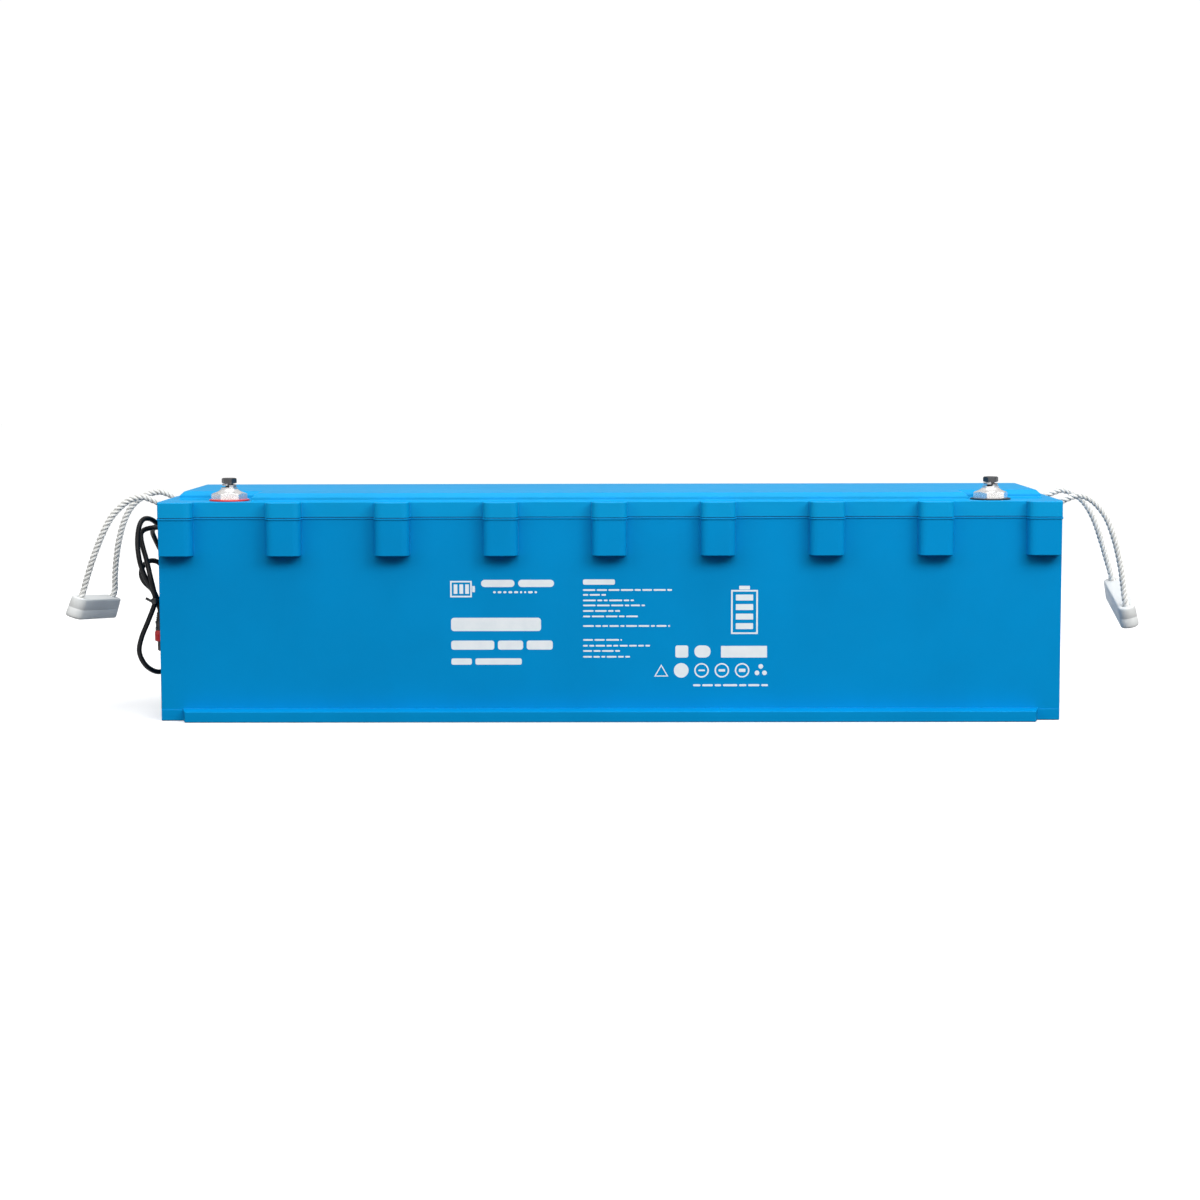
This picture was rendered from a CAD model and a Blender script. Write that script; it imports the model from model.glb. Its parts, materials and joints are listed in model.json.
"""Looks of a battery pack with sixteen prismatic cells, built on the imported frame.

Everything is in metres in the row frame: X along the case, Y from front to back, Z up.
"""
import json
import math
import random

import bmesh
import bpy
from mathutils import Matrix, Vector


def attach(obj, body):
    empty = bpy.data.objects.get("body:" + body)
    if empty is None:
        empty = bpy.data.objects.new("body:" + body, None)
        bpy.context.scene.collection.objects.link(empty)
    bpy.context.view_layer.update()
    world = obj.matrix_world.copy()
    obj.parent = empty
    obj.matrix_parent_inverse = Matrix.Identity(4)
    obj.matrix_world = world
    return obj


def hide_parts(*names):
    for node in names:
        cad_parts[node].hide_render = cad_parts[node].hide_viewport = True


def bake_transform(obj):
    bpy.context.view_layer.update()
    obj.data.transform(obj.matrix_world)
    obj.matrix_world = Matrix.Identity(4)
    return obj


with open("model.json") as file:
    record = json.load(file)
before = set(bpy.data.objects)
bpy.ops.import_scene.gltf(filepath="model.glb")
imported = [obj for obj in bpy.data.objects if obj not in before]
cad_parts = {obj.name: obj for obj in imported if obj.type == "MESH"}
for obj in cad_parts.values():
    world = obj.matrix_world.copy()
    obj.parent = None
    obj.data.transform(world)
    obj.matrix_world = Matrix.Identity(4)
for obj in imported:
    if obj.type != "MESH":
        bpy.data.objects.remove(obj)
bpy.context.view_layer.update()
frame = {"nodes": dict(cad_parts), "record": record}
NODES = frame["nodes"]
MM = 0.001


# ---- Sizes repeated from the design ----

WALL_Y = -0.092
CABLE_D = 5 * MM
ROPE_D = 6.3 * MM
ROPE_Y = 0.045
LID_KNOT_X, LID_KNOT_Z = 0.424, 0.2036
STUB_ROUTE = [(-424, 45, 203.6), (-431, 45, 205.4), (-437, 45, 206.6), (-447, 45.6, 211.2),
              (-455, 46.4, 214.6)]
GRIP_POSES = {
    "left": ((-518, 0, 112.5), (-5.1, 18, -5.7)),
    "right": ((512, 0, 115.5), (9.3, -12, -3.3)),
}
GRIP_HOLE_Y = 50
GRIP_W, GRIP_L = 18, 123
KNOT_Z = -11.7
STRAND_ROUTES = {
    "left_front": [(-463, -47, 216), (-476, -47.4, 211.5), (-491, -48, 197), (-501, -48.5, 179),
                   (-510, -49, 157), (-517, -49.3, 136)],
    "left_rear": [(-463, 47, 216), (-477, 47.4, 212), (-490.5, 48, 201.5), (-499.5, 48.5, 185),
                  (-505.5, 49, 164), (-508.8, 49.3, 143), (-510.2, 49.5, 127)],
    "right_front": [(463, -47, 216), (476, -47.4, 209.5), (488.5, -48, 194), (497, -48.5, 172),
                    (502.6, -49, 149), (506, -49.3, 128)],
    "right_rear": [(463, 47, 216), (476, 47.4, 211), (487, 48, 200.5), (496, 48.5, 184),
                   (503.5, 49, 163), (509, 49.2, 145)],
}
CABLE_ROUTES = {
    "a": [(-425, -20, 184), (-434, -20, 184), (-443.5, -20, 184), (-453, -20, 184),
          (-461.8, -23.5, 182.9), (-465.4, -31.9, 180.1), (-464.4, -40.4, 174.7),
          (-461.2, -47.6, 166), (-456.5, -54.5, 154), (-451.2, -62.3, 137),
          (-447.8, -63.6, 123), (-447, -63.6, 115),
          (-449, -63.8, 107.5), (-454.6, -63.5, 94), (-461.8, -62.5, 77), (-464.3, -60.5, 63),
          (-459, -57, 50), (-450.5, -48, 42.5), (-444, -36, 43), (-441.3, -24.5, 52),
          (-441.2, -17, 68), (-441.2, -15, 92), (-441.2, -16, 120), (-443.5, -19, 137),
          (-449.5, -24, 148.5), (-457.5, -30, 151.5), (-464, -35, 146.5), (-465, -40, 138.5),
          (-461, -45, 131.5), (-454.6, -49.6, 126.5), (-449.6, -51.9, 121.2), (-447, -52.4, 115),
          (-445.4, -50.4, 107), (-444.2, -46.6, 100), (-443.7, -43.6, 94), (-443.7, -43.4, 91)],
    "b": [(-425, 14, 184), (-434, 14, 184), (-443.5, 14, 184), (-453, 14, 184),
          (-461.8, 16.9, 181.8), (-465.5, 24, 176.5), (-465, 31, 170),
          (-462.4, 37.5, 161), (-457.5, 43.5, 147),
          (-450, 48, 110), (-447, 48, 68), (-446, 43, 56), (-445, 31.5, 50.5), (-444, 20, 56),
          (-443, 15, 68), (-443, 12, 110), (-443, 9, 148), (-446, 3, 170), (-452, -7, 184),
          (-458, -19, 192), (-463, -33, 193), (-465, -46, 186), (-464.8, -56, 171),
          (-461.8, -61.5, 153), (-457, -58.8, 137), (-449.8, -58, 123), (-447, -58, 115),
          (-445, -57.2, 109.5), (-443.9, -56.2, 105), (-443.9, -56, 102)],
}


# ---- Camera, stage and light ----

CAMERA_AT = (0.01387, -2.4165, 0.3498)
CAMERA_TURNS = (-0.567, 5.702, -0.1395)
LENS_MM = 72.24
LIGHT_AIM = Vector((0, 0, 0.12))
FLOOR_HALF = 12
FLOOR_DROP = 0.4 * MM
DOME_RADIUS = 11.5
WHITE = (1, 1, 1, 1)


def make_camera():
    """The photograph's viewpoint: a long lens a little above the lid."""
    yaw, pitch, roll = (math.radians(a) for a in CAMERA_TURNS)
    right = Vector((math.cos(yaw), -math.sin(yaw), 0))
    ahead = Vector((math.sin(yaw), math.cos(yaw), 0))
    forward = math.cos(pitch) * ahead - math.sin(pitch) * Vector((0, 0, 1))
    up = math.sin(pitch) * ahead + math.cos(pitch) * Vector((0, 0, 1))
    tilted_right = math.cos(roll) * right + math.sin(roll) * up
    tilted_up = math.cos(roll) * up - math.sin(roll) * right
    data = bpy.data.cameras.new("camera")
    data.sensor_width = 36
    data.lens = LENS_MM
    data.clip_end = 60
    camera = bpy.data.objects.new("camera", data)
    bpy.context.scene.collection.objects.link(camera)
    basis = Matrix((tilted_right, tilted_up, -forward)).transposed().to_4x4()
    camera.matrix_world = Matrix.Translation(CAMERA_AT) @ basis
    bpy.context.scene.camera = camera


def add_light(name, kind, energy, position, size=None, angle=None, glossy=True):
    """A light that looks at the middle of the case."""
    data = bpy.data.lights.new(name, kind)
    data.energy = energy
    if size:
        data.shape = "RECTANGLE"
        data.size, data.size_y = size
    if angle:
        data.angle = math.radians(angle)
    light = bpy.data.objects.new(name, data)
    light.location = position
    aim = LIGHT_AIM - Vector(position)
    light.rotation_euler = aim.to_track_quat("-Z", "Y").to_euler()
    light.visible_glossy = glossy
    bpy.context.scene.collection.objects.link(light)


def make_light():
    """Soft boxes, a wide overhead light, and a white world that is dimmer towards the floor."""
    add_light("key_left", "AREA", 8, (-1.4, -1.2, 1.25), size=(1.0, 1.0))
    add_light("key_right", "AREA", 14, (1.4, -1.2, 1.3), size=(1.0, 1.0))
    add_light("front", "AREA", 29, (0.45, -1.65, 1.5), size=(2.4, 0.8))
    add_light("overhead", "SUN", 1.4, (0.1, 0.0, 3), angle=50)
    add_light("back_fill", "AREA", 6, (-0.2, 1.7, 0.9), size=(2.4, 0.8), glossy=False)
    world = bpy.data.worlds.new("world")
    world.use_nodes = True
    nodes, links = world.node_tree.nodes, world.node_tree.links
    place = nodes.new("ShaderNodeTexCoord")
    split = nodes.new("ShaderNodeSeparateXYZ")
    level = nodes.new("ShaderNodeMapRange")
    level.inputs["From Min"].default_value = -0.1
    level.inputs["From Max"].default_value = 0.35
    level.inputs["To Min"].default_value = 0.06
    level.inputs["To Max"].default_value = 0.5
    links.new(place.outputs["Generated"], split.inputs[0])
    links.new(split.outputs["Z"], level.inputs["Value"])
    links.new(level.outputs[0], nodes["Background"].inputs["Strength"])
    nodes["Background"].inputs["Color"].default_value = WHITE
    bpy.context.scene.world = world
    bpy.context.scene.view_settings.view_transform = "Standard"


def make_stage():
    """A plain pale floor, and a white dome behind it that only the camera sees."""
    floor_mesh = bpy.data.meshes.new("floor")
    corners = [(x * FLOOR_HALF, y * FLOOR_HALF, 0) for x, y in ((-1, -1), (1, -1), (1, 1), (-1, 1))]
    floor_mesh.from_pydata(corners, [], [(0, 1, 2, 3)])
    floor = bpy.data.objects.new("floor", floor_mesh)
    floor.location.z = -FLOOR_DROP
    floor_paint = Paint("stage_floor")
    floor_paint.set("Base Color", (0.75, 0.75, 0.75, 1))
    floor_paint.set("Roughness", 0.9)
    floor_paint.set("Specular IOR Level", 0.1)
    floor_paint.set("Emission Color", WHITE)
    floor_paint.set("Emission Strength", 0.32)
    floor_mesh.materials.append(floor_paint.material)
    floor.visible_diffuse = False

    dome_mesh = bpy.data.meshes.new("backdrop")
    shell = bmesh.new()
    bmesh.ops.create_uvsphere(shell, u_segments=48, v_segments=24, radius=DOME_RADIUS)
    bmesh.ops.reverse_faces(shell, faces=shell.faces)
    shell.to_mesh(dome_mesh)
    shell.free()
    dome = bpy.data.objects.new("backdrop", dome_mesh)
    dome_paint = Paint("stage_backdrop")
    dome_paint.set("Base Color", (0, 0, 0, 1))
    dome_paint.set("Emission Color", WHITE)
    dome_paint.set("Emission Strength", 1.0)
    dome_mesh.materials.append(dome_paint.material)
    for ray in ("diffuse", "glossy", "transmission", "shadow", "volume_scatter"):
        setattr(dome, "visible_" + ray, False)
    for obj in (floor, dome):
        bpy.context.scene.collection.objects.link(obj)


# ---- Materials ----

class Paint:
    """One material: a Principled shader and short calls that add nodes to it."""

    def __init__(self, name):
        self.material = bpy.data.materials.new(name)
        self.material.use_nodes = True
        self.nodes = self.material.node_tree.nodes
        self.links = self.material.node_tree.links
        self.shader = self.nodes["Principled BSDF"]
        self.place = None

    def set(self, socket, value):
        self.shader.inputs[socket].default_value = value

    def join(self, value, socket):
        """Links an output to a socket, or sets the socket if the value is a constant."""
        if isinstance(value, bpy.types.NodeSocket):
            self.links.new(value, socket)
        else:
            socket.default_value = value

    def coords(self, stretch=(1, 1, 1)):
        """Place in the row frame, in metres, stretched along the axes if asked."""
        if self.place is None:
            self.place = self.nodes.new("ShaderNodeTexCoord").outputs["Object"]
        if stretch == (1, 1, 1):
            return self.place
        mapping = self.nodes.new("ShaderNodeMapping")
        mapping.inputs["Scale"].default_value = stretch
        self.links.new(self.place, mapping.inputs["Vector"])
        return mapping.outputs[0]

    def noise(self, size, detail=3, roughness=0.5, stretch=(1, 1, 1)):
        """Noise from 0 to 1 whose blobs are about size metres across."""
        node = self.nodes.new("ShaderNodeTexNoise")
        node.inputs["Scale"].default_value = 1 / size
        node.inputs["Detail"].default_value = detail
        node.inputs["Roughness"].default_value = roughness
        self.links.new(self.coords(stretch), node.inputs["Vector"])
        return node.outputs["Fac"]

    def cells(self, size):
        """Distance from the middle of cells about size metres across."""
        node = self.nodes.new("ShaderNodeTexVoronoi")
        node.inputs["Scale"].default_value = 1 / size
        self.links.new(self.coords(), node.inputs["Vector"])
        return node.outputs["Distance"]

    def span(self, value, low, high, to_low=0.0, to_high=1.0):
        """A value mapped from low-high to to_low-to_high, and clamped."""
        node = self.nodes.new("ShaderNodeMapRange")
        node.inputs["From Min"].default_value = low
        node.inputs["From Max"].default_value = high
        node.inputs["To Min"].default_value = to_low
        node.inputs["To Max"].default_value = to_high
        self.join(value, node.inputs["Value"])
        return node.outputs[0]

    def math(self, operation, a, b=0.0):
        node = self.nodes.new("ShaderNodeMath")
        node.operation = operation
        self.join(a, node.inputs[0])
        self.join(b, node.inputs[1])
        return node.outputs[0]

    def mix(self, factor, a, b):
        node = self.nodes.new("ShaderNodeMix")
        node.data_type = "RGBA"
        self.join(factor, node.inputs[0])
        self.join(a, node.inputs[6])
        self.join(b, node.inputs[7])
        return node.outputs[2]

    def attribute(self, name):
        node = self.nodes.new("ShaderNodeAttribute")
        node.attribute_name = name
        return node.outputs["Fac"]

    def edges(self, radius):
        """1 on the edges of the form and 0 on its flat faces."""
        bevel = self.nodes.new("ShaderNodeBevel")
        bevel.inputs["Radius"].default_value = radius
        dot = self.nodes.new("ShaderNodeVectorMath")
        dot.operation = "DOT_PRODUCT"
        self.links.new(bevel.outputs[0], dot.inputs[0])
        self.links.new(self.nodes.new("ShaderNodeNewGeometry").outputs["Normal"], dot.inputs[1])
        return self.span(self.math("SUBTRACT", 1.0, dot.outputs["Value"]), 0.02, 0.3)

    def bump(self, height, distance, strength=1.0):
        """Adds relief on top of any that the material has already."""
        node = self.nodes.new("ShaderNodeBump")
        node.inputs["Distance"].default_value = distance
        node.inputs["Strength"].default_value = strength
        self.join(height, node.inputs["Height"])
        last = self.shader.inputs["Normal"]
        if last.is_linked:
            self.links.new(last.links[0].from_socket, node.inputs["Normal"])
        self.links.new(node.outputs[0], last)

    def color(self, value):
        self.join(value, self.shader.inputs["Base Color"])

    def roughness(self, value):
        self.join(value, self.shader.inputs["Roughness"])


def shade(color, factor):
    return tuple(min(1.0, max(0.0, c * factor)) for c in color[:3]) + (1,)


def plastic(name, color, rough=0.42, specular=0.5, wear=0.2):
    """Moulded plastic: fine spark texture, slow colour drift, slight waves, paler worn edges."""
    paint = Paint(name)
    drift = paint.span(paint.noise(0.09, 4), 0.3, 0.7)
    base = paint.mix(drift, shade(color, 0.96), shade(color, 1.05))
    speck = paint.span(paint.noise(1.6 * MM, 5, 0.65), 0.52, 0.75)
    base = paint.mix(paint.math("MULTIPLY", speck, 0.12), base, shade(color, 0.8))
    worn = paint.edges(0.8 * MM)
    patches = paint.span(paint.noise(5 * MM, 4), 0.35, 0.65, 0.3, 1)
    rub = paint.math("MULTIPLY", worn, patches)
    pale = tuple(c + (1 - c) * 0.35 for c in color[:3]) + (1,)
    base = paint.mix(paint.math("MULTIPLY", rub, wear), base, pale)
    paint.color(base)
    smudges = paint.noise(14 * MM, 5, 0.6)
    paint.roughness(paint.span(smudges, 0.25, 0.75, rough - 0.05, rough + 0.07))
    paint.set("Specular IOR Level", specular)
    paint.bump(paint.noise(0.35 * MM, 2, 0.6), 0.02 * MM, 0.5)
    paint.bump(paint.noise(0.045, 2), 0.25 * MM, 0.35)
    return paint


def metal(name, color, rough=0.3, brushed=(1, 1, 1), grain=0.25 * MM, depth=0.012 * MM,
          dark=0.55, solid=1.0):
    """Plated or machined metal: tool marks, smudges in the gloss, dull spots, bright edges."""
    paint = Paint(name)
    cloud = paint.span(paint.noise(7 * MM, 5, 0.6), 0.3, 0.75)
    base = paint.mix(cloud, shade(color, 1.04), shade(color, 0.86))
    pits = paint.span(paint.noise(0.9 * MM, 4, 0.7), 0.6, 0.8)
    base = paint.mix(paint.math("MULTIPLY", pits, dark), base, shade(color, 0.55))
    base = paint.mix(paint.math("MULTIPLY", paint.edges(0.4 * MM), 0.5), base, shade(color, 1.3))
    paint.color(base)
    paint.set("Metallic", solid)
    streak = paint.noise(0.6 * MM, 4, 0.6, stretch=brushed)
    paint.roughness(paint.span(streak, 0.25, 0.75, rough - 0.08, rough + 0.12))
    paint.bump(paint.noise(grain, 3, 0.6, stretch=brushed), depth, 0.6)
    return paint


def white_rope():
    """Twisted synthetic rope: bright yarns, grey in the grooves, a little soiled."""
    paint = Paint("rope")
    groove = paint.attribute("groove")
    soil = paint.span(paint.noise(11 * MM, 4), 0.35, 0.7)
    clean = paint.mix(soil, (0.86, 0.86, 0.835, 1), (0.76, 0.76, 0.735, 1))
    base = paint.mix(paint.span(groove, 0.2, 0.85, 0.0, 0.75), clean, (0.4, 0.4, 0.38, 1))
    fleck = paint.span(paint.noise(0.5 * MM, 4, 0.7), 0.55, 0.8)
    base = paint.mix(paint.math("MULTIPLY", fleck, 0.25), base, (0.55, 0.54, 0.52, 1))
    paint.color(base)
    paint.roughness(paint.span(paint.noise(2 * MM, 3), 0.3, 0.7, 0.55, 0.75))
    paint.set("Sheen Weight", 0.35)
    paint.set("Sheen Roughness", 0.4)
    paint.set("Subsurface Weight", 0.08)
    paint.set("Subsurface Radius", (0.6 * MM, 0.6 * MM, 0.6 * MM))
    paint.set("Subsurface Scale", 1.0)
    paint.bump(paint.noise(0.16 * MM, 3, 0.7), 0.06 * MM, 0.7)
    return paint


def rubber(name, color, rough=0.5, dust=0.2, specular=0.5):
    """Soft sheath or seal: slow mottling, grey dust specks and a dull skin."""
    paint = Paint(name)
    drift = paint.span(paint.noise(18 * MM, 4), 0.3, 0.7)
    base = paint.mix(drift, shade(color, 0.8), shade(color, 1.35))
    speck = paint.span(paint.noise(1.1 * MM, 5, 0.7), 0.58, 0.8)
    paint.color(paint.mix(paint.math("MULTIPLY", speck, dust), base, (0.16, 0.16, 0.165, 1)))
    paint.roughness(paint.span(paint.noise(6 * MM, 4), 0.3, 0.7, rough - 0.1, rough + 0.12))
    paint.set("Specular IOR Level", specular)
    paint.bump(paint.noise(0.5 * MM, 3, 0.6), 0.02 * MM, 0.6)
    return paint


def foam(name, color):
    """Open foam: dark pores between pale walls."""
    paint = Paint(name)
    pores = paint.cells(1.4 * MM)
    paint.color(paint.mix(paint.span(pores, 0.1, 0.6), shade(color, 0.35), shade(color, 1.2)))
    paint.roughness(paint.span(pores, 0.0, 0.7, 0.95, 0.8))
    paint.bump(pores, 0.3 * MM, 0.8)
    return paint


def wound_foil():
    """Edges of wound electrode foil and separator: fine dark and copper lines."""
    paint = Paint("electrode")
    wave = paint.nodes.new("ShaderNodeTexWave")
    wave.wave_type = "BANDS"
    wave.bands_direction = "X"
    wave.inputs["Scale"].default_value = 900
    wave.inputs["Distortion"].default_value = 0.6
    paint.links.new(paint.coords(), wave.inputs["Vector"])
    base = paint.mix(wave.outputs["Fac"], (0.03, 0.03, 0.033, 1), (0.2, 0.19, 0.18, 1))
    copper = paint.span(paint.noise(3 * MM, 3), 0.6, 0.7)
    paint.color(paint.mix(paint.math("MULTIPLY", copper, 0.5), base, (0.45, 0.2, 0.1, 1)))
    paint.roughness(paint.span(wave.outputs["Fac"], 0, 1, 0.75, 0.45))
    paint.bump(wave.outputs["Fac"], 0.1 * MM, 0.5)
    return paint


def circuit_board():
    """Green solder mask with raised tracks and tinned pads."""
    paint = Paint("board")
    tracks = paint.nodes.new("ShaderNodeTexBrick")
    tracks.inputs["Scale"].default_value = 120
    tracks.inputs["Mortar Size"].default_value = 0.012
    tracks.inputs["Color1"].default_value = (0.006, 0.1, 0.035, 1)
    tracks.inputs["Color2"].default_value = (0.008, 0.13, 0.045, 1)
    tracks.inputs["Mortar"].default_value = (0.03, 0.26, 0.1, 1)
    paint.links.new(paint.coords(), tracks.inputs["Vector"])
    pads = paint.span(paint.cells(4 * MM), 0.1, 0.13, 1, 0)
    bare = paint.math("MULTIPLY", pads, 0.8)
    paint.color(paint.mix(bare, tracks.outputs["Color"], (0.7, 0.62, 0.42, 1)))
    paint.roughness(paint.span(paint.noise(9 * MM, 3), 0.3, 0.7, 0.3, 0.42))
    paint.bump(tracks.outputs["Fac"], 0.03 * MM, 0.5)
    return paint


def film(name, color):
    """Shrink film over a cell can: glossy, with slack wrinkles."""
    paint = Paint(name)
    drift = paint.span(paint.noise(0.05, 3), 0.3, 0.7)
    paint.color(paint.mix(drift, shade(color, 0.85), shade(color, 1.12)))
    paint.roughness(paint.span(paint.noise(9 * MM, 4), 0.3, 0.7, 0.16, 0.34))
    paint.set("Coat Weight", 0.4)
    paint.set("Coat Roughness", 0.12)
    paint.bump(paint.noise(22 * MM, 3, 0.55, stretch=(1, 1, 0.25)), 0.35 * MM, 0.6)
    paint.bump(paint.noise(0.4 * MM, 2), 0.008 * MM, 0.5)
    return paint


def print_ink():
    """White screen print: a thin, slightly uneven layer."""
    paint = Paint("print_ink")
    thin = paint.span(paint.noise(0.5 * MM, 4, 0.7), 0.62, 0.82)
    drift = paint.span(paint.noise(8 * MM, 3), 0.3, 0.7)
    base = paint.mix(drift, (0.78, 0.84, 0.88, 1), (0.84, 0.89, 0.92, 1))
    paint.color(paint.mix(paint.math("MULTIPLY", thin, 0.5), base, (0.2, 0.5, 0.72, 1)))
    paint.roughness(paint.span(paint.noise(3 * MM, 3), 0.3, 0.7, 0.45, 0.6))
    paint.set("Specular IOR Level", 0.3)
    paint.bump(paint.noise(0.2 * MM, 2), 0.01 * MM, 0.6)
    return paint


CASE_BLUE = (0.0, 0.258, 0.59)
LID_BLUE = (0.0, 0.302, 0.635)


def make_materials():
    """One finished material for each of the record's material slots."""
    return {
        "case": plastic("case", CASE_BLUE, rough=0.46, specular=0.06, wear=0.12),
        "lid": plastic("lid", LID_BLUE, rough=0.42, specular=0.12, wear=0.12),
        "seal": rubber("seal", (0.0, 0.06, 0.13), rough=0.6),
        "pad": foam("pad", (0.05, 0.052, 0.056)),
        "cell_can": film("cell_can", (0.02, 0.13, 0.4)),
        "electrode": wound_foil(),
        "cell_cap": metal("cell_cap", (0.74, 0.75, 0.77), rough=0.34, brushed=(1, 12, 1)),
        "cell_stud": metal("cell_stud", (0.8, 0.81, 0.82), rough=0.24),
        "vent_foil": metal("vent_foil", (0.85, 0.85, 0.87), rough=0.2, depth=0.03 * MM),
        "spacer": plastic("spacer", (0.78, 0.73, 0.6), rough=0.6, wear=0.1),
        "end_plate": metal("end_plate", (0.5, 0.52, 0.55), rough=0.45, grain=0.5 * MM,
                           depth=0.04 * MM),
        "band": metal("band", (0.55, 0.56, 0.58), rough=0.32, brushed=(0.08, 1, 1)),
        "carrier": plastic("carrier", (0.8, 0.79, 0.74), rough=0.5, wear=0.1),
        "busbar": metal("busbar", (0.86, 0.46, 0.26), rough=0.3, brushed=(0.1, 1, 1)),
        "board": circuit_board(),
        "board_parts": plastic("board_parts", (0.02, 0.02, 0.023), rough=0.38),
        "screw": metal("screw", (0.66, 0.67, 0.69), rough=0.28),
        "sense_wire": rubber("sense_wire", (0.5, 0.03, 0.025), rough=0.4),
        "terminal": metal("terminal", (0.92, 0.9, 0.89), rough=0.24, grain=0.4 * MM, dark=0.25,
                          solid=0.7),
        "insulator_red": plastic("insulator_red", (0.72, 0.02, 0.022), rough=0.3, wear=0.15),
        "insulator_black": plastic("insulator_black", (0.02, 0.02, 0.023), rough=0.32, wear=0.12),
        "terminal_nut": metal("terminal_nut", (0.78, 0.62, 0.34), rough=0.28),
        "bolt": metal("bolt", (0.11, 0.112, 0.118), rough=0.32, dark=0.5),
        "spring_washer": metal("spring_washer", (0.5, 0.51, 0.53), rough=0.27),
        "flat_washer": metal("flat_washer", (0.8, 0.8, 0.8), rough=0.24),
        "rope": white_rope(),
        "grip": plastic("grip", (0.73, 0.745, 0.74), rough=0.42, specular=0.4, wear=0.1),
        "gland": plastic("gland", (0.02, 0.02, 0.022), rough=0.42, wear=0.12),
        "cable": rubber("cable", (0.006, 0.006, 0.007), rough=0.38, dust=0.05, specular=0.2),
        "plug": plastic("plug", (0.018, 0.018, 0.02), rough=0.45, wear=0.12),
        "ring_black": plastic("ring_black", (0.025, 0.025, 0.028), rough=0.4, wear=0.15),
        "ring_red": plastic("ring_red", (0.6, 0.015, 0.02), rough=0.36, wear=0.12),
        "tie": plastic("tie", (0.01, 0.01, 0.012), rough=0.35, wear=0.1),
    }


def dress_nodes():
    """Every CAD node gets its slot's finished material."""
    for row in frame["record"]["subparts"]:
        mesh = NODES[row["node"]].data
        mesh.materials.clear()
        mesh.materials.append(MATERIALS[row["material_slot"]].material)


# ---- Mesh helpers ----

def piece(name, verts, faces, slot, body="pack", sharp=35):
    """A mesh object in the row frame with its slot's material. It rides on body, if not None."""
    mesh = bpy.data.meshes.new(name)
    mesh.from_pydata([tuple(v) for v in verts], [], faces)
    mesh.update()
    mesh.polygons.foreach_set("use_smooth", [True] * len(mesh.polygons))
    mesh.set_sharp_from_angle(angle=math.radians(sharp))
    mesh.materials.append(MATERIALS[slot].material)
    obj = bpy.data.objects.new(name, mesh)
    bpy.context.scene.collection.objects.link(obj)
    if body:
        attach(obj, body)
    return obj


def ring_faces(rings, around, closed_ends=True):
    """Quads between rings of points that all have the same count."""
    faces = []
    for i in range(rings - 1):
        for k in range(around):
            a, b = i * around + k, i * around + (k + 1) % around
            faces.append((a, b, b + around, a + around))
    if closed_ends:
        faces.append(tuple(reversed(range(around))))
        faces.append(tuple(range((rings - 1) * around, rings * around)))
    return faces


def loop_faces(rings, around):
    """Quads between rings of points, with the last ring joined to the first."""
    faces = ring_faces(rings, around, closed_ends=False)
    last = (rings - 1) * around
    for k in range(around):
        after = (k + 1) % around
        faces.append((last + k, last + after, after, k))
    return faces


def turned_rings(profile, at, around, radius):
    """Points of a turned form from (radius, height) pairs. radius(r, z, angle) reshapes it."""
    verts = []
    for r, z in profile:
        for k in range(around):
            a = 2 * math.pi * k / around
            reach = radius(r, z, a)
            verts.append(Vector(at) + Vector((reach * math.cos(a), reach * math.sin(a), z)))
    return verts


def lathe(name, profile, slot, at, radius, body="pack", around=72, sharp=35):
    """A turned form with closed ends, from a profile in millimetres."""
    rings = [(r * MM, z * MM) for r, z in profile]
    verts = turned_rings(rings, at, around, radius)
    return piece(name, verts, ring_faces(len(rings), around), slot, body, sharp)


def smooth_route(points, steps):
    """The Catmull-Rom curve that the design uses, in metres."""
    p = [Vector(q) for q in points]
    curve = []
    for i in range(len(p) - 1):
        a, b, c, d = p[max(i - 1, 0)], p[i], p[i + 1], p[min(i + 2, len(p) - 1)]
        for k in range(steps):
            t = k / steps
            curve.append(0.5 * (2 * b + (c - a) * t + (2 * a - 5 * b + 4 * c - d) * t * t
                                + (3 * b - a - 3 * c + d) * t ** 3))
    return [q * MM for q in curve + [p[-1]]]


def even_steps(points, step):
    """The same line with points at equal distances."""
    marks = [0.0]
    for a, b in zip(points, points[1:]):
        marks.append(marks[-1] + (b - a).length)
    count = max(2, round(marks[-1] / step))
    line, i = [], 0
    for k in range(count + 1):
        s = marks[-1] * k / count
        while i < len(marks) - 2 and marks[i + 1] < s:
            i += 1
        line.append(points[i].lerp(points[i + 1], (s - marks[i]) / (marks[i + 1] - marks[i])))
    return line


def carried_frames(line):
    """(point, side, side) along a line, without twist."""
    frames = []
    side = Vector((0.3, 0.2, 1))
    for i, p in enumerate(line):
        way = (line[min(i + 1, len(line) - 1)] - line[max(i - 1, 0)]).normalized()
        side = (side - way * side.dot(way)).normalized()
        frames.append((p, side, way.cross(side)))
    return frames


def body_of(node):
    bodies = frame["record"]["behaviour"]["bodies"]
    return next(body for body in bodies if node in bodies[body])


def slot_of(node):
    return next(row["material_slot"] for row in frame["record"]["subparts"] if row["node"] == node)


RIB_PITCH = 0.105
LAST_RIB = 4
BEAD_IN = 0.5 * MM
BEAD_LOW, BEAD_HIGH = 0.1963, 0.1981


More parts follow.
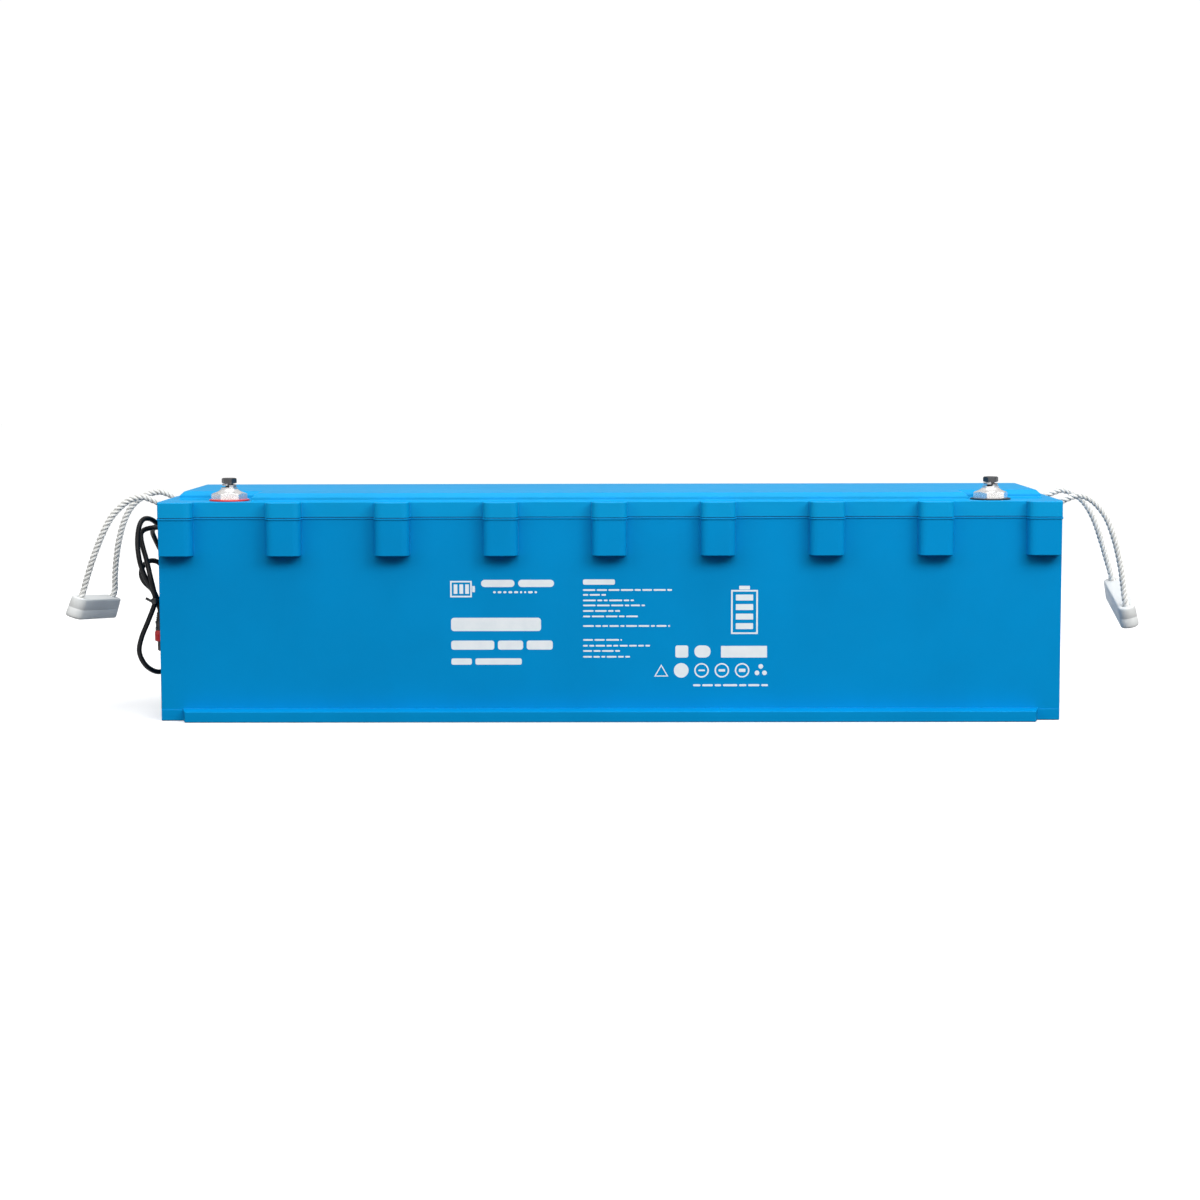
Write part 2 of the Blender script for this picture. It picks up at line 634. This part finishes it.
def thin_bead(shell):
    """Draws the seam's bead in a little, so that it ends in a soft round against the wall."""
    moves = {}
    for edge in shell.edges:
        a, b = (v.co for v in edge.verts)
        upright = (a.xy - b.xy).length < 1e-6
        if upright and min(a.z, b.z) > BEAD_LOW and max(a.z, b.z) < BEAD_HIGH:
            for v in edge.verts:
                nearest = max(-LAST_RIB, min(LAST_RIB, round(v.co.x / RIB_PITCH)))
                to_rib = math.copysign(BEAD_IN, nearest * RIB_PITCH - v.co.x)
                moves[v] = Vector((to_rib, math.copysign(BEAD_IN, -v.co.y), 0))
    for v, move in moves.items():
        v.co += move


def level_normals(mesh):
    """Corner normals that stay flat on large faces and turn over the narrow ones between them."""
    around = [[] for _ in mesh.vertices]
    for face in mesh.polygons:
        for v in face.vertices:
            around[v].append((face.normal.copy(), face.area))
    limit = math.cos(math.radians(50))
    normals = []
    for face in mesh.polygons:
        for v in face.vertices:
            near = [normal * area for normal, area in around[v] if normal.dot(face.normal) > limit]
            total = sum(near, Vector())
            normals.append(total.normalized() if total.length > 1e-12 else face.normal.copy())
    mesh.normals_split_custom_set(normals)


def softened(node, width, segments=3, angle=10, shortest=1.5 * MM, fine=()):
    """A copy of a CAD node with its outer edges rounded in the mesh. It stands for the node.

    fine lists (low, high, share): an edge between those heights is rounded by that share of width.
    """
    shell = bmesh.new()
    shell.from_mesh(NODES[node].data)
    bmesh.ops.remove_doubles(shell, verts=shell.verts, dist=2e-6)
    bmesh.ops.dissolve_limit(shell, angle_limit=math.radians(0.3), verts=shell.verts,
                             edges=shell.edges)
    thin_bead(shell)
    weights = []
    for edge in shell.edges:
        share = 0.0
        sharp = edge.is_convex and edge.calc_face_angle() > math.radians(angle)
        if sharp and edge.calc_length() > shortest:
            share = 1.0
            for low, high, part in fine:
                if all(low < v.co.z < high for v in edge.verts):
                    share = part
        weights.append(share)
    for face in shell.faces:
        face.smooth = True
    mesh = bpy.data.meshes.new(node + "_rounded")
    shell.to_mesh(mesh)
    shell.free()
    mark = mesh.attributes.new("bevel_weight_edge", "FLOAT", "EDGE")
    mark.data.foreach_set("value", weights)
    obj = bpy.data.objects.new(mesh.name, mesh)
    bpy.context.scene.collection.objects.link(obj)
    bevel = obj.modifiers.new("bevel", "BEVEL")
    bevel.width = width
    bevel.segments = segments
    bevel.limit_method = "WEIGHT"
    bevel.use_clamp_overlap = False
    apply_modifiers(obj)
    level_normals(obj.data)
    obj.data.materials.clear()
    obj.data.materials.append(MATERIALS[slot_of(node)].material)
    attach(obj, body_of(node))
    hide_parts(node)


# ---- Cords: data cables and handle ropes ----

def make_cable(letter, ring_slot):
    """A data cable from its gland to its plug, on the route of the design."""
    line = even_steps(smooth_route(CABLE_ROUTES[letter], 8), 3 * MM)
    data = bpy.data.curves.new("data_cable_%s_sheath" % letter, "CURVE")
    data.dimensions = "3D"
    data.bevel_depth = CABLE_D / 2
    data.bevel_resolution = 6
    data.use_fill_caps = True
    spline = data.splines.new("POLY")
    spline.points.add(len(line) - 1)
    for point, p in zip(spline.points, line):
        point.co = (*p, 1)
    spline.use_smooth = True
    data.materials.append(MATERIALS["cable"].material)
    cable = bpy.data.objects.new(data.name, data)
    bpy.context.scene.collection.objects.link(cable)
    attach(cable, "pack")
    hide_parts("data_cable_" + letter)
    plug = make_plug(letter, line[-1])
    ring = make_plug_ring(letter, line[-1], ring_slot)


def make_plug(letter, at):
    """An over-moulded plug: ribbed strain relief, waisted body with finger flats, threaded nose."""
    profile = [(2.55, 0.8), (2.8, 0.6), (3.2, 0.0)]
    for k in range(4):
        z = -0.7 - 1.7 * k
        wide = 3.42 + 0.26 * k
        profile += [(wide, z), (wide, z - 0.9), (wide - 0.5, z - 1.05), (wide - 0.5, z - 1.55)]
    profile += [(4.4, -7.7), (4.85, -8.4), (4.9, -9.6), (4.6, -10.9), (4.45, -12.2), (4.55, -13.6),
                (4.83, -14.8), (4.9, -15.6), (4.9, -16.4), (4.65, -17), (3.5, -17), (3.5, -26.6),
                (3.2, -27), (2.6, -27), (2.6, -23), (0.4, -23)]

    def flats(r, z, a):
        if -0.0158 < z < -0.0082:
            return r - 0.25 * MM * max(0.0, math.cos(6 * a)) ** 3
        return r

    plug = lathe("plug_%s_body" % letter, profile[::-1], "plug", at, flats)
    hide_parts("plug_" + letter)
    return plug


def make_plug_ring(letter, at, slot):
    """A knurled coupling ring that turns on the plug's nose."""
    outer = [(4.6, -28), (4.95, -27.7), (5.3, -27.2), (5.3, -18.9), (5.0, -18.3), (4.85, -17.4),
             (4.6, -17.2)]
    bore = [(3.58, -17.2), (3.58, -27.4), (4.0, -28)]

    def knurl(r, z, a):
        if r > 5.2 * MM:
            return r + 0.28 * MM * (0.5 + 0.5 * math.cos(18 * a)) ** 2
        return r

    profile = [(r * MM, z * MM) for r, z in outer + bore]
    around = 108
    verts = turned_rings(profile, at, around, knurl)
    faces = loop_faces(len(profile), around)
    ring = piece("plug_ring_%s_knurled" % letter, verts, faces, slot, "ring_" + letter)
    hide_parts("plug_ring_" + letter)
    return ring


def turned(p, turns):
    """A point turned about Y, then X, then Z, as the design turns its grips."""
    a, b, c = (math.radians(t) for t in turns)
    about_x, about_y, about_z = (Matrix.Rotation(t, 3, axis) for t, axis in zip((a, b, c), "XYZ"))
    return about_z @ about_x @ about_y @ Vector(p)


def on_grip(side, p):
    at, turns = GRIP_POSES[side]
    return Vector(at) + turned(p, turns)


def strand_line(name):
    """From the stopper knot in the lid, over the crest and down to the knot in the grip."""
    side, row = name.split("_")
    sign = Vector((1 if side == "right" else -1, 1 if row == "rear" else -1, 1))
    stub = [Vector((abs(p[0]), p[1], p[2])) * sign for p in STUB_ROUTE]
    grip_y = GRIP_HOLE_Y * sign.y
    hanging = [Vector(p) for p in STRAND_ROUTES[name]]
    end = [on_grip(side, (0, grip_y, z)) for z in (7, -2, KNOT_Z)]
    return even_steps(smooth_route(stub + hanging + end, 10), 0.45 * MM)


def make_strand(name):
    """Three-strand rope: three lobes that wind round the line, with fine yarns across each lobe."""
    line = strand_line(name)
    around, radius = 60, ROPE_D / 2
    lay, yarns, yarn_lay = 14.4 * MM, 11, 26 * MM
    verts, groove = [], []
    distance = 0.0
    for i, (p, u, v) in enumerate(carried_frames(line)):
        distance += (p - line[i - 1]).length if i else 0
        for k in range(around):
            a = 2 * math.pi * k / around
            phase = (a - 2 * math.pi * distance / lay) % (2 * math.pi / 3) - math.pi / 3
            lobe = max(0.0, math.cos(1.5 * phase)) ** 0.62
            yarn = abs(math.sin(yarns * a + 2 * math.pi * distance / yarn_lay))
            reach = radius * (0.6 + 0.41 * lobe) + 0.09 * MM * (yarn - 0.6) * lobe
            verts.append(p + reach * (math.cos(a) * u + math.sin(a) * v))
            groove.append((1 - lobe) * 0.9 + 0.18 * (1 - yarn))
    faces = ring_faces(len(line), around)
    rope = piece("rope_strand_" + name, verts, faces, "rope", body=None, sharp=75)
    mark = rope.data.attributes.new("groove", "FLOAT", "POINT")
    mark.data.foreach_set("value", groove)
    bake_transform(rope)
    return rope


def make_knot(name, centre, size, body):
    """A stopper knot: one thick turn of rope pulled tight on itself, as a closed lumpy coil."""
    around, steps, tube = 20, 96, size * 0.25
    room = size / 2 - tube
    points = []
    for i in range(steps):
        t = 2 * math.pi * i / steps
        wide = room * (0.72 + 0.28 * math.cos(3 * t))
        points.append(Vector((wide * math.cos(2 * t), wide * math.sin(2 * t),
                              room * 0.8 * math.sin(3 * t))))
    verts = []
    for i, p in enumerate(points):
        way = (points[(i + 1) % steps] - points[i - 1]).normalized()
        u = (p - way * p.dot(way)).normalized()
        v = way.cross(u)
        for k in range(around):
            a = 2 * math.pi * k / around
            lobe = 1 + 0.07 * math.cos(3 * (a - 6 * math.pi * i / steps * 2))
            verts.append(Vector(centre) + p + tube * lobe * (math.cos(a) * u + math.sin(a) * v))
    knot = piece(name, verts, loop_faces(steps, around), "rope", body, sharp=80)
    mark = knot.data.attributes.new("groove", "FLOAT", "POINT")
    mark.data.foreach_set("value", [0.15] * len(knot.data.vertices))


def make_ropes():
    """Four strands and their eight knots stand for the CAD ropes."""
    for side in ("left", "right"):
        sign = -1 if side == "left" else 1
        for row, y in (("front", -1), ("rear", 1)):
            name = side + "_" + row
            make_strand(name)
            in_grip = on_grip(side, (0, y * GRIP_HOLE_Y, KNOT_Z)) * MM
            in_lid = (sign * LID_KNOT_X, y * ROPE_Y, LID_KNOT_Z)
            make_knot("knot_in_grip_" + name, in_grip, 11 * MM, "handle_" + side)
            make_knot("knot_in_lid_" + name, in_lid, 12 * MM, "pack")
        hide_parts("rope_" + side)
    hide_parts("rope_knots")


# ---- Hand grips ----

def make_grip(side):
    """A moulded bar: half-round ends, soft edges, a parting line and a hole for each strand."""
    half, radius = (GRIP_L - GRIP_W) / 2, GRIP_W / 2
    levels = [(-21, -1.9), (-20.8, -1.2), (-20.4, -0.65), (-19.8, -0.25), (-19, -0.02), (-17.5, 0),
              (-11.08, -0.28), (-10.98, -0.34), (-10.88, -0.29), (-4, -0.6), (-1.7, -0.8),
              (-0.9, -1.05), (-0.4, -1.5), (-0.1, -2.1), (0, -2.8)]
    corner = 20
    verts = []
    for z, grow in levels:
        r = radius + grow
        for end in (1, -1):
            for k in range(corner + 1):
                a = math.pi * k / corner + (0 if end == 1 else math.pi)
                verts.append(Vector((r * math.cos(a), end * half + r * math.sin(a), z)))
    faces = ring_faces(len(levels), 2 * (corner + 1))
    grip = piece("grip_bar_" + side, verts, faces, "grip", body=None, sharp=50)
    for y in (-GRIP_HOLE_Y, GRIP_HOLE_Y):
        cut_hole(grip, [(3.65, -22), (3.65, -0.9), (4.3, -0.1), (4.9, 1)], y)
        cut_hole(grip, [(6.25, -22), (6.25, -7)], y)
    at, turns = GRIP_POSES[side]
    for vertex in grip.data.vertices:
        vertex.co = (Vector(at) + turned(vertex.co, turns)) * MM
    grip.data.set_sharp_from_angle(angle=math.radians(50))
    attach(grip, "handle_" + side)
    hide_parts("grip_" + side)


def cut_hole(target, profile, y):
    """Cuts a turned hole through the mesh, with its axis along Z at the given y."""
    around = 40
    verts = [(r * math.cos(2 * math.pi * k / around), y + r * math.sin(2 * math.pi * k / around), z)
             for r, z in profile for k in range(around)]
    mesh = bpy.data.meshes.new("cutter")
    mesh.from_pydata(verts, [], ring_faces(len(profile), around))
    cutter = bpy.data.objects.new("cutter", mesh)
    bpy.context.scene.collection.objects.link(cutter)
    cut = target.modifiers.new("hole", "BOOLEAN")
    cut.object = cutter
    cut.operation = "DIFFERENCE"
    cut.solver = "EXACT"
    apply_modifiers(target)
    bpy.data.objects.remove(cutter)


def apply_modifiers(obj):
    """Puts the result of an object's modifiers into its mesh."""
    depsgraph = bpy.context.evaluated_depsgraph_get()
    result = bpy.data.meshes.new_from_object(obj.evaluated_get(depsgraph))
    obj.modifiers.clear()
    old, obj.data = obj.data, result
    bpy.data.meshes.remove(old)


def make_tie():
    """A nylon tie: a strap round the cables, its lock and its trimmed tail."""
    at = Vector((-447, -58, 115))
    steps, bend = 64, 3.5
    loop = []
    for k in range(steps):
        a = 2 * math.pi * k / steps
        straight = 5.6 * (1 if math.sin(a) > 0 else -1)
        loop.append(Vector((bend * math.cos(a), straight + bend * math.sin(a), 0)))
    section = [(-0.48, -1.2), (-0.3, -1.4), (0.3, -1.4), (0.48, -1.2),
               (0.48, 1.2), (0.3, 1.4), (-0.3, 1.4), (-0.48, 1.2)]
    verts = []
    for i, p in enumerate(loop):
        way = (loop[(i + 1) % steps] - loop[i - 1]).normalized()
        outward = Vector((way.y, -way.x, 0))
        verts += [(at + p + outward * r + Vector((0, 0, z))) * MM for r, z in section]
    strap = piece("cable_tie_strap", verts, loop_faces(steps, len(section)), "tie", sharp=40)
    lock_at, tail_at = at + Vector((0, -11.2, 0)), at + Vector((-4.6, -12.6, 1.2))
    soft_box("cable_tie_lock", (4.6, 4.2, 5.4), 0.7, lock_at, (0, 0, 0), "tie")
    soft_box("cable_tie_tail", (7.5, 1.1, 2.6), 0.3, tail_at, (0, 30, 12), "tie")
    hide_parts("cable_tie")


def soft_box(name, size, radius, centre, turns, slot):
    """A block in millimetres whose edges are rounded in its mesh."""
    shell = bmesh.new()
    bmesh.ops.create_cube(shell, size=1)
    bmesh.ops.scale(shell, vec=size, verts=shell.verts)
    bmesh.ops.bevel(shell, geom=shell.edges, offset=radius, segments=3, profile=0.5, affect="EDGES")
    mesh = bpy.data.meshes.new(name)
    shell.to_mesh(mesh)
    shell.free()
    verts = [(centre + turned(v.co, turns)) * MM for v in mesh.vertices]
    faces = [tuple(face.vertices) for face in mesh.polygons]
    bpy.data.meshes.remove(mesh)
    piece(name, verts, faces, slot, sharp=50)


# ---- Terminals ----

POST_X, POST_Y = 371, -70
BOLT_SEAT_Z = 0.2304
THREAD_R, THREAD_PITCH = 3.9, 1.25


def hexagon(flats, start):
    """The radius of a hexagon at each angle, from its width across flats and its turn."""
    def limit(angle):
        part = (angle - math.radians(start)) % (math.pi / 3) - math.pi / 6
        return flats / 2 * MM / math.cos(part)
    return limit


def make_post(side, sign):
    """A tin-plated post: chamfered hexagon, hollow-flared shoulder, threaded stem, bolt hole."""
    profile = [(9.0, 194), (9.6, 194.5)]
    for k in range(12):
        z = 195 + 1.5 * k
        profile += [(9.95, z), (9.95, z + 0.45), (9.2, z + 0.75), (9.2, z + 1.1)]
    profile += [(9.95, 213.2), (9.95, 215), (16.6, 215), (17.4, 215.4), (18, 216), (18, 219.6),
                (17.3, 220.1), (16.2, 220.7), (15.1, 221.2), (14.1, 221.5), (12.9, 221.9),
                (11.7, 222.4), (10.6, 223.0), (9.7, 223.6), (9.0, 224.2), (8.5, 224.7),
                (8.2, 224.95), (7.9, 225), (4.7, 225), (4.06, 224.4), (4.06, 208.2), (0.3, 208)]
    limit = hexagon(30, 10)

    def form(r, z, a):
        return min(r, limit(a)) if r > 12 * MM else r

    at = (sign * POST_X * MM, POST_Y * MM, 0)
    post = lathe("terminal_post_" + side, profile, "terminal", at, form, around=144, sharp=28)
    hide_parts("terminal_" + side)


def make_bolt(side, sign):
    """An M8 bolt: chamfered hexagon head with a shallow dish, washer face, helical thread."""
    at = (sign * POST_X * MM, POST_Y * MM, BOLT_SEAT_Z)
    head = [(4.02, 0), (5.9, 0), (6.05, 0.15), (6.1, 0.35), (7.0, 0.45), (7.5, 0.75), (7.6, 1.0),
            (7.6, 4.1), (7.35, 4.5), (6.95, 4.85), (6.45, 5.15), (6.0, 5.28), (5.6, 5.3),
            (5.1, 5.2), (4.6, 4.95), (0.3, 4.85)]
    limit = hexagon(13, 4 * sign)
    thread = [(THREAD_R, -19.5 + 0.1 * k) for k in range(176)]
    shank = [(0.3, -20), (2.9, -20), (3.4, -19.7)] + thread + [(3.95, -1.8), (3.98, -1.5)]

    def form(r, z, a):
        if r == THREAD_R * MM:
            turn = abs(((z / MM / THREAD_PITCH - a / (2 * math.pi)) % 1) * 2 - 1)
            return (3.97 - 0.62 * max(0.0, min(1.0, 1.25 * turn - 0.12))) * MM
        return min(r, limit(a)) if r > 6.2 * MM else r

    bolt = lathe("bolt_m8_" + side, shank + head, "bolt", at, form, "bolt_" + side, around=120,
                 sharp=28)
    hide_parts("bolt_" + side)


def make_spring_washer(side, sign):
    """An open spring washer: a rounded square section that climbs by one turn."""
    section = []
    for cx, cz, start in ((6.65, 1.65, 0), (4.6, 1.65, 90), (4.6, 0.35, 180), (6.65, 0.35, 270)):
        for k in range(5):
            a = math.radians(start + 22.5 * k)
            section.append((cx + 0.35 * math.cos(a), cz + 0.35 * math.sin(a)))
    steps, turn, rise = 96, 345, 1.8
    verts = []
    for i in range(steps + 1):
        a = math.radians(turn * i / steps - 80)
        for r, z in section:
            verts.append(Vector((sign * POST_X + r * math.cos(a), POST_Y + r * math.sin(a),
                                 226.6 + z + rise * i / steps)) * MM)
    faces = ring_faces(steps + 1, len(section))
    washer = piece("spring_washer_coil_" + side, verts, faces, "spring_washer", "washers_" + side)
    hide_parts("spring_washer_" + side)


def make_terminals():
    """Post, bolt and washers at each end. The insulator and flat washer keep their CAD shapes."""
    for side, sign in (("left", -1), ("right", 1)):
        make_post(side, sign)
        make_bolt(side, sign)
        make_spring_washer(side, sign)
        softened("flat_washer_" + side, 0.3 * MM, angle=40, shortest=0)
        softened("insulator_" + side, 0.35 * MM, angle=40, shortest=0)


# ---- Printed marks on the front ----

INK_DEPTH = 0.06 * MM
SMALL_PRINT = [(126.6, 60.7), (121.9, -3.3), (116.5, 23.8), (111.6, 34.5), (106.2, 10.3),
               (100.9, 27.7), (91.5, 58.8), (77.9, 12.1), (72.2, 39.4), (67.1, 10.2), (61.4, 19.9)]


def make_print():
    """Plain bars, blocks and outlines stand for the printing. Nothing is lettered."""
    sheets = bmesh.new()

    def slab(points):
        """One flat shape from (x, z) points in millimetres, in order round its edge."""
        front = [sheets.verts.new((x * MM, WALL_Y - INK_DEPTH, z * MM)) for x, z in points]
        back = [sheets.verts.new((x * MM, WALL_Y + 0.02 * MM, z * MM)) for x, z in points]
        sheets.faces.new(front)
        for i in range(len(points)):
            j = (i + 1) % len(points)
            sheets.faces.new((front[j], front[i], back[i], back[j]))

    def bar(x0, x1, z0, z1, corner=None):
        """A bar whose corners are rounded, fully unless a corner radius is given."""
        r = min(x1 - x0, z1 - z0) / 2 if corner is None else corner
        points = []
        left, right, low, high = x0 + r, x1 - r, z0 + r, z1 - r
        corners = ((right, high), (left, high), (left, low), (right, low))
        for quarter, (cx, cz) in enumerate(corners):
            for k in range(7):
                a = math.radians(90 * quarter + 15 * k)
                points.append((cx + r * math.cos(a), cz + r * math.sin(a)))
        slab(points)

    def hoop(x, z, outer, inner, sides=40, turn=0):
        """A ring, or the outline of a polygon where sides are few."""
        for k in range(sides):
            a, b = (2 * math.pi * (k + e) / sides + turn for e in (0, 1))
            slab([(x + r * math.cos(t), z + r * math.sin(t))
                  for r, t in ((inner, a), (outer, a), (outer, b), (inner, b))])

    def words(x0, x1, z0, z1, seed, shortest=2.2, longest=8.0):
        """A line of greeked text: bars of different widths."""
        rng = random.Random(seed)
        x = x0
        while x < x1 - 1:
            wide = min(rng.uniform(shortest, longest) * (z1 - z0), x1 - x)
            bar(x, x + wide, z0, z1)
            x += wide + (z1 - z0) * 0.9

    battery_mark(bar, -154.5, 118.5, 24, 20)
    bar(-124.5, -92, 130.5, 137.5)
    bar(-88.5, -53.7, 130.5, 137.5)
    words(-112.9, -70.2, 124.4, 126.4, 3, 1.0, 2.5)
    bar(-153.9, -66.5, 87.5, 100.5, 3)
    bar(-153.9, -112, 69.3, 78.2, 2.4)
    bar(-108.5, -84, 69.3, 78.2, 2.4)
    bar(-80.5, -55.2, 69.3, 78.2, 2.4)
    bar(-153.9, -134, 54.6, 60.8, 1.8)
    bar(-130.5, -85.4, 54.6, 60.8, 1.8)
    bar(-25.6, 5.4, 132.6, 137.8, 1.6)
    for row, (z, end) in enumerate(SMALL_PRINT):
        words(-25.6, end, z, z + 1.6, 20 + row)
    tall_battery(bar, 118, 84.3, 26, 47)
    bar(64, 76.5, 61.3, 73.2, 2)
    bar(82.5, 98.2, 61.3, 73.2, 5.5)
    bar(108.3, 153.0, 61.3, 72.7, 0.6)
    hoop(50.3, 46.8, 8.0, 6.0, 3, math.pi / 2)
    bar(62.5, 76.9, 41.6, 56.0)
    for k, x in enumerate((89.5, 109.2, 128.9)):
        hoop(x, 48.8, 7.1, 5.7)
        bar(x - 3.2, x + 3.2, 48.0 - k * 0.4, 49.6 + k * 0.4, 0.7)
    for a in (90, 210, 330):
        x, z = 147 + 4.2 * math.cos(math.radians(a)), 48.4 + 4.2 * math.sin(math.radians(a))
        bar(x - 2.3, x + 2.3, z - 2.3, z + 2.3)
    words(81.2, 154.1, 33.2, 35.2, 51)
    mesh = bpy.data.meshes.new("front_print")
    sheets.to_mesh(mesh)
    sheets.free()
    mesh.materials.append(INK.material)
    printed = bpy.data.objects.new("front_print", mesh)
    bpy.context.scene.collection.objects.link(printed)
    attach(printed, "pack")


def frame_bars(bar, x, z, wide, tall, line):
    """A rectangle drawn with four bars."""
    bar(x, x + wide, z, z + line, 0.3)
    bar(x, x + wide, z + tall - line, z + tall, 0.3)
    bar(x, x + line, z + line, z + tall - line, 0.01)
    bar(x + wide - line, x + wide, z + line, z + tall - line, 0.01)


def battery_mark(bar, x, z, wide, tall):
    """A generic lying battery outline with charge bars."""
    frame_bars(bar, x, z + 2, wide - 3, tall - 4, 1.5)
    bar(x + wide - 2.6, x + wide, z + tall * 0.35, z + tall * 0.65, 0.4)
    for k in range(3):
        bar(x + 3.4 + 5.6 * k, x + 7.0 + 5.6 * k, z + 5.4, z + tall - 5.4, 0.3)


def tall_battery(bar, x, z, wide, tall):
    """A generic standing battery outline with charge bars."""
    frame_bars(bar, x, z, wide, tall - 4, 1.6)
    bar(x + wide * 0.3, x + wide * 0.7, z + tall - 3.6, z + tall, 0.5)
    for k in range(4):
        bar(x + 4.6, x + wide - 4.6, z + 4.8 + 9.3 * k, z + 10.6 + 9.3 * k, 0.6)


# ---- Building ----

# (lowest, highest, share of the rounding) for edges that are finer than the rest.
BAND_TOP = (0.0105, 0.0109, 0.4)
SEAM_BEAD = (0.196, 0.199, 0.6)
THIN_TONGUE = (0.1985, 0.202, 0)
LID_FOOT = (0.198, 0.199, 0.3)

MATERIALS = make_materials()
INK = print_ink()
make_camera()
make_stage()
make_light()
dress_nodes()
make_cable("a", "ring_black")
make_cable("b", "ring_red")
make_ropes()
make_grip("left")
make_grip("right")
make_terminals()
softened("case_body", 0.8 * MM, fine=(BAND_TOP, SEAM_BEAD, THIN_TONGUE))
softened("lid", 1.0 * MM, fine=(LID_FOOT,))
make_tie()
softened("cable_glands", 0.3 * MM, 2, angle=25, shortest=0)
make_print()
